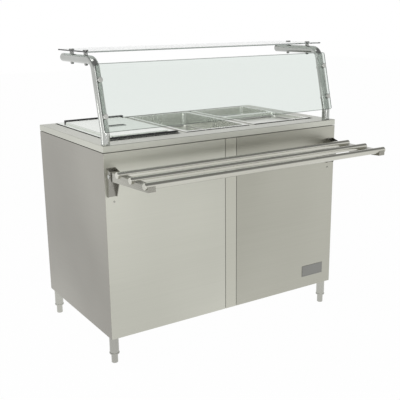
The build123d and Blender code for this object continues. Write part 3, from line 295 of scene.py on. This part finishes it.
LOOKS = {
    # One front steel in three tones, lightest on the left panel and darker on the cover strip and
    # the right panel: painted light and shade of a lamp at the left.
    "front": brushed_steel("front_sheet", (0.522, 0.523, 0.462), (0.588, 0.589, 0.523),
                           (0.30, 0.40), LONG_X),
    "front right painted shade": brushed_steel("front_sheet_right_painted_shade", (0.400, 0.397, 0.344),
                                 (0.462, 0.459, 0.402), (0.30, 0.40), LONG_X),
    "strip": brushed_steel("strip_sheet_painted_shade", (0.500, 0.498, 0.435), (0.550, 0.548, 0.481),
                           (0.30, 0.40), LONG_X),
    # The side sheets are painted darker than the front: painted shade on the sides turned from
    # the light.
    "side": brushed_steel("side_sheet_painted_shade", (0.310, 0.300, 0.270), (0.390, 0.380, 0.343),
                          (0.32, 0.42), LONG_Y),
    "top": brushed_steel("worktop_sheet", (0.515, 0.520, 0.464), (0.595, 0.600, 0.536),
                         (0.28, 0.38), LONG_X),
    "lid": brushed_steel("lid_sheet", (0.69, 0.72, 0.67), (0.77, 0.80, 0.75),
                         (0.16, 0.26), PRESSED, bump=0.01),
    "pan": brushed_steel("pan_sheet", (0.70, 0.71, 0.67), (0.78, 0.79, 0.745),
                         (0.22, 0.32), PRESSED, bump=0.01),
    # The tank's steel is painted near black: painted shade for the dark gap round the pans' rims.
    "tank": brushed_steel("tank_sheet_painted_shade", (0.060, 0.062, 0.060), (0.10, 0.102, 0.10),
                          (0.30, 0.42), LONG_X),
    "rail": brushed_steel("rail_tube", (0.54, 0.535, 0.478), (0.64, 0.635, 0.575),
                          (0.12, 0.18), LONG_X),
    "arm": brushed_steel("arm_sheet", (0.30, 0.295, 0.26), (0.44, 0.435, 0.39),
                         (0.20, 0.32), LONG_Y),
    # The brackets are painted much darker than the arms: painted shade, as they stand in shadow.
    "bracket": brushed_steel("bracket_sheet_painted_shade", (0.11, 0.107, 0.094), (0.30, 0.293, 0.265),
                             (0.18, 0.34), (60.0, 60.0, 45.0), marks=30.0),
    "post": brushed_steel("polished_tube", (0.35, 0.36, 0.343), (0.47, 0.481, 0.46),
                          (0.08, 0.13), (60.0, 60.0, 4.0), bump=0.005),
    "bolt": brushed_steel("bolt_steel", (0.16, 0.165, 0.155), (0.24, 0.245, 0.235),
                          (0.12, 0.22), ALL_ROUND, bump=0.005, marks=40.0),
    # The glass bolts take a lighter copy of the bolt steel: painted highlight.
    "bolt painted highlight": brushed_steel("bolt_painted_highlight", (0.42, 0.425, 0.40), (0.52, 0.525, 0.50),
                                 (0.12, 0.20), ALL_ROUND, bump=0.005, marks=40.0),
    "leg": brushed_steel("leg_tube", (0.38, 0.38, 0.35), (0.47, 0.47, 0.43),
                         (0.18, 0.28), UPRIGHT),
    "rear": brushed_steel("rear_sheet", (0.42, 0.42, 0.37), (0.49, 0.49, 0.435),
                          (0.30, 0.40), LONG_X),
    "plate": brushed_steel("plate_metal", (0.20, 0.20, 0.19), (0.27, 0.27, 0.255),
                           (0.35, 0.45), LONG_X),
    "zinc": brushed_steel("zinc_sheet", (0.42, 0.44, 0.45), (0.56, 0.58, 0.60),
                          (0.35, 0.55), (30.0, 30.0, 30.0), bump=0.03, marks=14.0),
    "fin": brushed_steel("fin_metal", (0.62, 0.63, 0.64), (0.72, 0.73, 0.74),
                         (0.3, 0.45), (90.0, 90.0, 90.0)),
    "copper": brushed_steel("copper_tube", (0.68, 0.30, 0.16), (0.80, 0.42, 0.26),
                            (0.25, 0.4), (50.0, 50.0, 50.0), marks=9.0),
    "nickel": brushed_steel("nickel_brass", (0.60, 0.55, 0.42), (0.70, 0.66, 0.55),
                            (0.2, 0.35), ALL_ROUND, marks=20.0),
    "black": speckled("black_moulding", (0.016, 0.016, 0.017), (0.026, 0.026, 0.028),
                      (0.32, 0.5), 900.0),
    "key": speckled("grey_key", (0.18, 0.185, 0.19), (0.23, 0.235, 0.24), (0.4, 0.55), 900.0),
    "rocker": speckled("green_rocker", (0.02, 0.22, 0.06), (0.03, 0.30, 0.09), (0.15, 0.28),
                       300.0, bump=0.02, coat=0.4),
    "lever": speckled("red_dip", (0.42, 0.02, 0.015), (0.52, 0.035, 0.02), (0.25, 0.4), 200.0),
    "enamel": speckled("black_enamel", (0.012, 0.012, 0.013), (0.02, 0.02, 0.022),
                       (0.18, 0.32), 120.0, bump=0.15, coat=0.5),
    "foam": speckled("cut_foam", (0.72, 0.60, 0.36), (0.82, 0.72, 0.48), (0.7, 0.9), 500.0,
                     bump=0.6),
    "pane": speckled("tinted_pane", (0.05, 0.006, 0.006), (0.07, 0.01, 0.01), (0.06, 0.12),
                     80.0, bump=0.0, coat=0.3),
    # Near-black rubber look for the lid's strips and the grip's liner: painted shade in the gaps
    # round the lid and in its grip.
    "lid shade": speckled("lid_painted_shade", (0.022, 0.022, 0.022), (0.036, 0.036, 0.036),
                       (0.45, 0.65), 400.0),
}

# Nodes that each finish goes on
WEARS = {
    "top": ("worktop", "pan_bars"),
    "tank": ("well_tank",),
    "pan": ("pan_left", "pan_middle", "half_pan_back", "half_pan_front"),
    "lid": ("lid_left",),
    "side": ("side_panel_left", "side_panel_right"),
    "front": ("front_panel_left",),
    "front right painted shade": ("front_panel_right",),
    "strip": ("cover_strip",),
    "rear": ("base_tray", "rear_header", "control_panel", "louvre_panel", "door_left",
             "door_right", "mullion", "inner_shelf"),
    "post": ("post_left", "post_right", "door_handle_left", "door_handle_right", "arm_pins"),
    "zinc": ("door_pins", "partition", "unit_base"),
    "leg": ("legs", "foot_front_left", "foot_front_right", "foot_back_left",
            "foot_back_right"),
    "bracket": ("wall_bracket_left", "wall_bracket_right"),
    "arm": ("tray_arm_left", "tray_arm_right"),
    "rail": ("tray_rails", "rail_caps"),
    "bolt painted highlight": ("glass_bolts",),
    "bolt": ("shelf_bolts",),
    "foam": ("well_insulation",),
    "copper": ("evaporator_coil", "refrigerant_lines"),
    "nickel": ("drain_pipe",),
    "fin": ("condenser", "fan_blade"),
    "black": ("thermostat", "switch_housing"),
    "key": ("button_set", "button_up", "button_down"),
    "rocker": ("switch_rocker",),
    "lever": ("valve_lever",),
    "enamel": ("compressor", "fan_shroud", "fan_motor"),
}
FINISH = {node: LOOKS[look] for look, wearers in WEARS.items() for node in wearers}
FINISH["front_glass"] = sheet_glass("front_glass", (X, Z))
FINISH["top_shelf"] = sheet_glass("top_shelf", (X, Y))


def only(thing):
    """Selects one object alone and makes it active."""
    bpy.ops.object.select_all(action="DESELECT")
    thing.select_set(True)
    bpy.context.view_layer.objects.active = thing


def give(thing, material):
    """The object's one material."""
    thing.data.materials.clear()
    thing.data.materials.append(material)


def finish_piece(piece, name, material, body):
    """Names a finished piece, gives it its finish and lets it ride on its body."""
    piece.name = name
    piece.data.name = name
    give(piece, material)
    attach(piece, body)


def apply_modifier(piece, kind, **values):
    """Adds a modifier with these values and applies it."""
    only(piece)
    modifier = piece.modifiers.new(kind.lower(), kind)
    for key, value in values.items():
        setattr(modifier, key, value)
    bpy.ops.object.modifier_apply(modifier=modifier.name)


def smooth(degrees=35):
    """Smooths the selected piece wherever it turns by less than this."""
    bpy.ops.object.shade_smooth_by_angle(angle=radians(degrees))


def break_edges(piece, width, segments=2):
    """Rounds the piece's sharp edges and smooths it."""
    apply_modifier(piece, "BEVEL", width=width, segments=segments, limit_method="ANGLE")
    smooth()


def merged_copy(node):
    """A copy of a node's own mesh, its loose triangles joined and its flat faces made whole."""
    only(nodes[node])
    bpy.ops.object.duplicate()
    piece = bpy.context.active_object
    piece.parent = None
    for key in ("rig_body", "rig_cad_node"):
        if key in piece:
            del piece[key]
    only(piece)
    bpy.ops.object.mode_set(mode="EDIT")
    bpy.ops.mesh.select_all(action="SELECT")
    bpy.ops.mesh.remove_doubles(threshold=0.002 * MM)
    bpy.ops.mesh.customdata_custom_splitnormals_clear()
    bpy.ops.mesh.dissolve_limited(angle_limit=radians(0.5))
    bpy.ops.object.mode_set(mode="OBJECT")
    return piece


def softened(node, width):
    """The node's own form with its folded edges broken by a fine radius, in place of the node."""
    piece = merged_copy(node)
    apply_modifier(piece, "BEVEL", width=width, segments=2, limit_method="ANGLE",
                   angle_limit=radians(50), use_clamp_overlap=True)
    smooth()
    apply_modifier(piece, "WEIGHTED_NORMAL", keep_sharp=True)
    finish_piece(piece, node + "_folded", FINISH[node], nodes[node]["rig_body"])
    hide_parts(node)


def settle(piece):
    """Puts the piece's place into its mesh, so that its object sits at the origin."""
    only(piece)
    bpy.ops.object.transform_apply(location=True, rotation=True, scale=True)


def new_block(low, high):
    """A box between two corners."""
    bpy.ops.object.select_all(action="DESELECT")
    middle = [(a + b) / 2 for a, b in zip(low, high)]
    size = [b - a for a, b in zip(low, high)]
    bpy.ops.mesh.primitive_cube_add(size=1, location=middle, scale=size)
    piece = bpy.context.active_object
    settle(piece)
    return piece


def pick_faces(piece, axis, sign):
    """In edit mode, selects the faces that look one way along an axis."""
    bpy.ops.mesh.select_mode(type="FACE")
    bpy.ops.mesh.select_all(action="DESELECT")
    mesh = bmesh.from_edit_mesh(piece.data)
    for face in mesh.faces:
        face.select_set(face.normal[axis] * sign > 0.9)
    bmesh.update_edit_mesh(piece.data)


def pick_uprights(piece, shortest):
    """In edit mode, selects the edges that rise by more than this."""
    bpy.ops.mesh.select_mode(type="EDGE")
    bpy.ops.mesh.select_all(action="DESELECT")
    mesh = bmesh.from_edit_mesh(piece.data)
    for edge in mesh.edges:
        a, b = edge.verts
        edge.select_set(abs(a.co.z - b.co.z) > shortest)
    bmesh.update_edit_mesh(piece.data)


def sink_field(piece, axis, sign, rim, depth):
    """In edit mode, sinks the face that looks along an axis, and leaves a rim round it."""
    pick_faces(piece, axis, sign)
    bpy.ops.mesh.inset(thickness=rim, depth=0)
    inward = [0.0, 0.0, 0.0]
    inward[axis] = -sign * depth
    bpy.ops.mesh.extrude_region_move(TRANSFORM_OT_translate={"value": tuple(inward)})


def label_plate():
    """Bare plate on the front, with a raised rim and a sunk field."""
    front_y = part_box("front_panel_right")[0][Y]
    piece = new_block((PLATE_X[0], front_y - PLATE_THICK, PLATE_Z[0]),
                      (PLATE_X[1], front_y, PLATE_Z[1]))
    bpy.ops.object.mode_set(mode="EDIT")
    sink_field(piece, Y, -1, rim=3.5 * MM, depth=0.7 * MM)
    bpy.ops.object.mode_set(mode="OBJECT")
    break_edges(piece, 0.4 * MM)
    finish_piece(piece, "label_plate", LOOKS["plate"], "counter")


def screw(name, place, along, radius, stand=2.2 * MM):
    """Domed screw with a sunk round socket, on a face that looks along -Y (-1) or +Y (1)."""
    bpy.ops.object.select_all(action="DESELECT")
    middle = (place[X], place[Y] + along * stand / 2, place[Z])
    bpy.ops.mesh.primitive_cylinder_add(vertices=24, radius=radius, depth=stand,
                                        location=middle, rotation=(radians(-90 * along), 0, 0))
    piece = bpy.context.active_object
    settle(piece)
    dome, socket_rim = stand * 0.6, radius * 0.28
    bpy.ops.object.mode_set(mode="EDIT")
    pick_faces(piece, Y, along)
    bpy.ops.mesh.bevel(offset=dome, segments=3, affect="EDGES")
    sink_field(piece, Y, along, rim=socket_rim, depth=dome)
    bpy.ops.object.mode_set(mode="OBJECT")
    smooth()
    finish_piece(piece, name, LOOKS["leg"], "counter")


def weld_bead(name, middle):
    """Dressed weld round a post's foot."""
    bpy.ops.object.select_all(action="DESELECT")
    bpy.ops.mesh.primitive_torus_add(major_segments=64, minor_segments=8, location=middle,
                                     major_radius=POST_WELD_RADIUS, minor_radius=1.6 * MM)
    piece = bpy.context.active_object
    settle(piece)
    bpy.ops.object.mode_set(mode="EDIT")
    bpy.ops.mesh.select_all(action="SELECT")
    bpy.ops.mesh.bisect(plane_co=middle, plane_no=(0, 0, 1), clear_inner=True, use_fill=True)
    bpy.ops.mesh.select_all(action="SELECT")
    bpy.ops.mesh.normals_make_consistent(inside=False)
    bpy.ops.object.mode_set(mode="OBJECT")
    smooth(50)
    finish_piece(piece, name, LOOKS["post"], "counter")


def display_window():
    """Tinted pane in the thermostat's window."""
    low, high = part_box("thermostat")
    left, right, half_height = 3.8 * MM, 37.2 * MM, 8.2 * MM
    middle_z = (low[Z] + high[Z]) / 2
    piece = new_block((low[X] + left, high[Y] - 1.0 * MM, middle_z - half_height),
                      (low[X] + right, high[Y] - 0.2 * MM, middle_z + half_height))
    break_edges(piece, 0.3 * MM)
    finish_piece(piece, "display_window", LOOKS["pane"], "counter")


def lid_shade_strip(name, near_y, left, right, width, rise):
    """Dark strip along one short end of the lid, with a sunk groove along its top: painted shade
    for the shadow gap under the lid's edge.
    """
    low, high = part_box("lid_left")
    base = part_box("pan_left")[1][Z] + 1.4 * MM
    piece = new_block((low[X] + left, near_y, base),
                      (high[X] - right, near_y + width, base + rise))
    bpy.ops.object.mode_set(mode="EDIT")
    sink_field(piece, Z, 1, rim=2.8 * MM, depth=0.8 * MM)
    bpy.ops.object.mode_set(mode="OBJECT")
    break_edges(piece, 0.9 * MM, segments=3)
    finish_piece(piece, name, LOOKS["lid shade"], "lid_left")


def grip_shade_liner():
    """Dark dish in the lid's sunk grip, its lip on the lid's top: painted shade in the grip's
    hollow.
    """
    low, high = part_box("lid_left")
    x, y = (low[X] + high[X]) / 2, (low[Y] + high[Y]) / 2
    half_x, half_y = 46.4 * MM, 20.4 * MM
    piece = new_block((x - half_x, y - half_y, high[Z] - 10.4 * MM),
                      (x + half_x, y + half_y, high[Z] + 0.7 * MM))
    bpy.ops.object.mode_set(mode="EDIT")
    pick_uprights(piece, 5 * MM)
    bpy.ops.mesh.bevel(offset=9.4 * MM, segments=6, affect="EDGES")
    sink_field(piece, Z, 1, rim=1.6 * MM, depth=9.8 * MM)
    bpy.ops.object.mode_set(mode="OBJECT")
    break_edges(piece, 0.3 * MM)
    finish_piece(piece, "lid_grip_shade_liner", LOOKS["lid shade"], "lid_left")


def lid_shade_pieces():
    """The lid's two dark strips and the dark liner of its grip: painted shade in the gaps round
    the lid and in the grip.
    """
    low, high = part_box("lid_left")
    lid_shade_strip("lid_shade_strip_front", low[Y] + 2 * MM, left=2 * MM, right=2 * MM, width=12 * MM,
              rise=4.8 * MM)
    lid_shade_strip("lid_shade_strip_back", high[Y] - 22 * MM, left=34 * MM, right=3 * MM, width=18 * MM,
              rise=11.2 * MM)
    grip_shade_liner()


def front_fittings():
    """A stop screw beside each front panel, and the weld under each post."""
    for side, word in ((-1, "left"), (1, "right")):
        front_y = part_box("front_panel_" + word)[0][Y]
        screw("stop_screw_" + word, (side * STOP_SCREW_X, front_y, STOP_SCREW_Z), -1,
              STOP_SCREW_RADIUS)
        weld_bead("post_weld_" + word,
                  (side * POST_FOOT_X, POST_FOOT_Y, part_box("worktop")[1][Z]))


def rear_screws():
    """Screws that hold the louvre panel and the control panel."""
    low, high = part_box("control_panel")
    left, right = low[X] + SCREW_INSET, high[X] - SCREW_INSET
    rows = [("cover_screw_%d" % row, z, (left, (low[X] + high[X]) / 2, right))
            for row, z in enumerate(LOUVRE_SCREW_Z)]
    rows.append(("panel_screw", CONTROL_SCREW_Z, (left, right)))
    for name, z, xs in rows:
        for x in xs:
            screw("%s_%d" % (name, round(x * 1000)), (x, high[Y], z), 1, SHEET_SCREW_RADIUS,
                  SHEET_SCREW_STAND)


def background_rays(tree, others=("Is Glossy Ray", "Is Transmission Ray")):
    """One for the camera's rays, and for those of these other kinds."""
    path = add_node(tree, "LightPath")
    seen = path.outputs["Is Camera Ray"]
    for ray in others:
        seen = larger_of(tree, seen, path.outputs[ray])
    return seen


def studio_floor():
    """Floor that keeps the counter's shadow and shows white."""
    bpy.ops.mesh.primitive_plane_add(size=FLOOR_SIZE, location=(0, 0, 0))
    floor = bpy.context.active_object
    floor.name = "studio_floor"
    material, tree, shader = new_material("studio_white")
    shader.inputs["Base Color"].default_value = FLOOR_COLOUR
    shader.inputs["Roughness"].default_value = FLOOR_ROUGHNESS
    link = tree.links.new
    glow = add_node(tree, "Emission")
    mix = add_node(tree, "MixShader")
    share = add_node(tree, "Math", {1: FLOOR_GLOW}, operation="MULTIPLY")
    link(background_rays(tree), share.inputs[0])
    link(share.outputs[0], mix.inputs["Fac"])
    link(shader.outputs[0], mix.inputs[1])
    link(glow.outputs[0], mix.inputs[2])
    link(mix.outputs[0], tree.nodes["Material Output"].inputs["Surface"])
    give(floor, material)


def studio_sky():
    """White surroundings, with a darker ceiling for what the metal reflects."""
    world = bpy.data.worlds.new("studio")
    bpy.context.scene.world = world
    world.use_nodes = True
    tree = world.node_tree
    back = tree.nodes["Background"]
    link = tree.links.new
    strength = add_node(tree, "Mix", {"A": WORLD_FILL, "B": 1.0}, data_type="FLOAT")
    link(background_rays(tree), strength.inputs["Factor"])
    link(strength.outputs["Result"], back.inputs["Strength"])
    place = add_node(tree, "TexCoord")
    split = add_node(tree, "SeparateXYZ")
    fade = add_node(tree, "MapRange", {"From Min": CEILING_FROM, "From Max": CEILING_TO,
                                       "To Min": 1.0, "To Max": CEILING})
    link(place.outputs["Generated"], split.inputs["Vector"])
    link(split.outputs["Z"], fade.inputs["Value"])
    plain = background_rays(tree, ("Is Transmission Ray",))
    link(larger_of(tree, fade.outputs["Result"], plain), back.inputs["Color"])


def studio_lamps():
    """Soft lamps that neither the camera nor the glass shows."""
    for name, place, width, height, power, target in LAMPS:
        bpy.ops.object.light_add(type="AREA", location=place)
        lamp = bpy.context.active_object
        lamp.name = name + "_lamp"
        lamp.data.shape = "RECTANGLE"
        lamp.data.size = width
        lamp.data.size_y = height
        lamp.data.energy = power
        lamp.visible_camera = False
        lamp.visible_transmission = False
        aim = Vector(target) - Vector(place)
        lamp.rotation_euler = aim.to_track_quat("-Z", "Y").to_euler()


def photograph_camera():
    """Camera at the photograph's place."""
    bpy.ops.object.camera_add(location=CAMERA_PLACE)
    camera = bpy.context.active_object
    turn = Euler((radians(90 - CAMERA_PITCH), 0, radians(-CAMERA_YAW))).to_matrix()
    turn = turn @ Matrix.Rotation(radians(CAMERA_ROLL), 3, "Z")
    camera.rotation_euler = turn.to_euler()
    camera.data.lens = CAMERA_LENS
    camera.data.sensor_width = CAMERA_SENSOR
    camera.data.clip_end = CAMERA_REACH
    bpy.context.scene.camera = camera
    bpy.context.scene.view_settings.view_transform = "Standard"


for node, material in FINISH.items():
    give(nodes[node], material)
for node, width in FOLDED.items():
    softened(node, width * MM)
label_plate()
display_window()
lid_shade_pieces()
front_fittings()
rear_screws()

studio_floor()
studio_sky()
studio_lamps()
photograph_camera()
